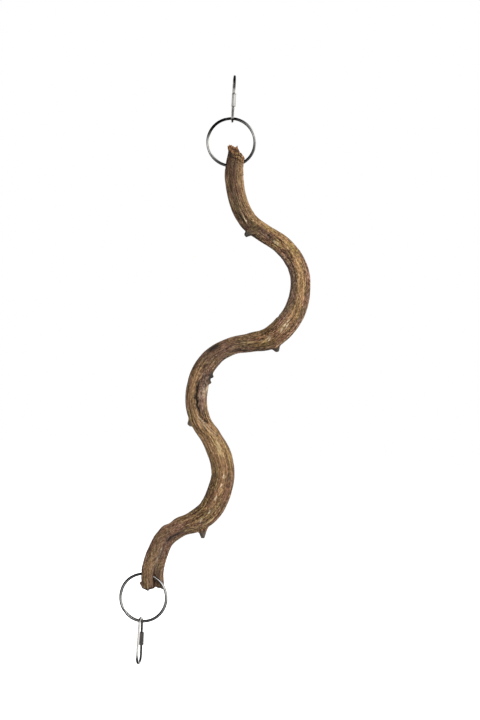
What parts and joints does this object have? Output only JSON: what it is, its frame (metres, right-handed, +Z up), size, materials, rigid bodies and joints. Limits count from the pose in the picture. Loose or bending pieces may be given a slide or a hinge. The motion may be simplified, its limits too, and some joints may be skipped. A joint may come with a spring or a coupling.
{
  "type": "hanging bird perch",
  "caption": "Winding natural vine perch hung upright on split rings, with a screw link at the top to clip it to a cage and one below to hang a toy.",
  "frame": {"origin": "inside of the upper link's wide bow, where the perch hangs", "axes": "+X to the right seen from the front, +Y to the back, +Z up"},
  "size_m": [0.1752, 0.0272, 0.5935],
  "materials": {
    "vine_bark": "rough natural bark",
    "ring_steel": "bright nickel plate",
    "link_steel": "bright nickel plate",
    "nut_steel": "satin nickel plate"
  },
  "bodies": {
    "upper_link": {"upper_link": "link_steel"},
    "upper_link_nut": {"upper_link_nut": "nut_steel"},
    "upper_ring": {"upper_ring": "ring_steel"},
    "vine": {"vine": "vine_bark"},
    "lower_ring": {"lower_ring": "ring_steel"},
    "lower_link": {"lower_link": "link_steel"},
    "lower_link_nut": {"lower_link_nut": "nut_steel"}
  },
  "joints": [
    {"name": "upper_ring_swing", "type": "hinge", "parent": "upper_link", "child": "upper_ring", "pos_m": [0, 0, -0.0444], "axis": [-0.0523, 0.9986, 0], "range_deg": [-90, 90]},
    {"name": "perch_swing", "type": "hinge", "parent": "upper_ring", "child": "vine", "pos_m": [0.00524, 0.00027, -0.08667], "axis": [0.971, 0.0509, 0.2334], "range_deg": [-90, 90]},
    {"name": "lower_ring_swing", "type": "hinge", "parent": "vine", "child": "lower_ring", "pos_m": [-0.06083, -0.00083, -0.50122], "axis": [0.9649, -0.2228, -0.1392], "range_deg": [-135, 12]},
    {"name": "lower_link_swing", "type": "hinge", "parent": "lower_ring", "child": "lower_link", "pos_m": [-0.06526, 0.0002, -0.54442], "axis": [0.225, 0.9744, 0], "range_deg": [-120, 120]},
    {"name": "upper_nut_travel", "type": "slide", "parent": "upper_link", "child": "upper_link_nut", "axis": [-0.004, 0.0763, -0.9971], "range_m": [0, 0.0092]},
    {"name": "lower_nut_travel", "type": "slide", "parent": "lower_link", "child": "lower_link_nut", "axis": [-0.0172, -0.0745, 0.9971], "range_m": [0, 0.0092]}
  ]
}
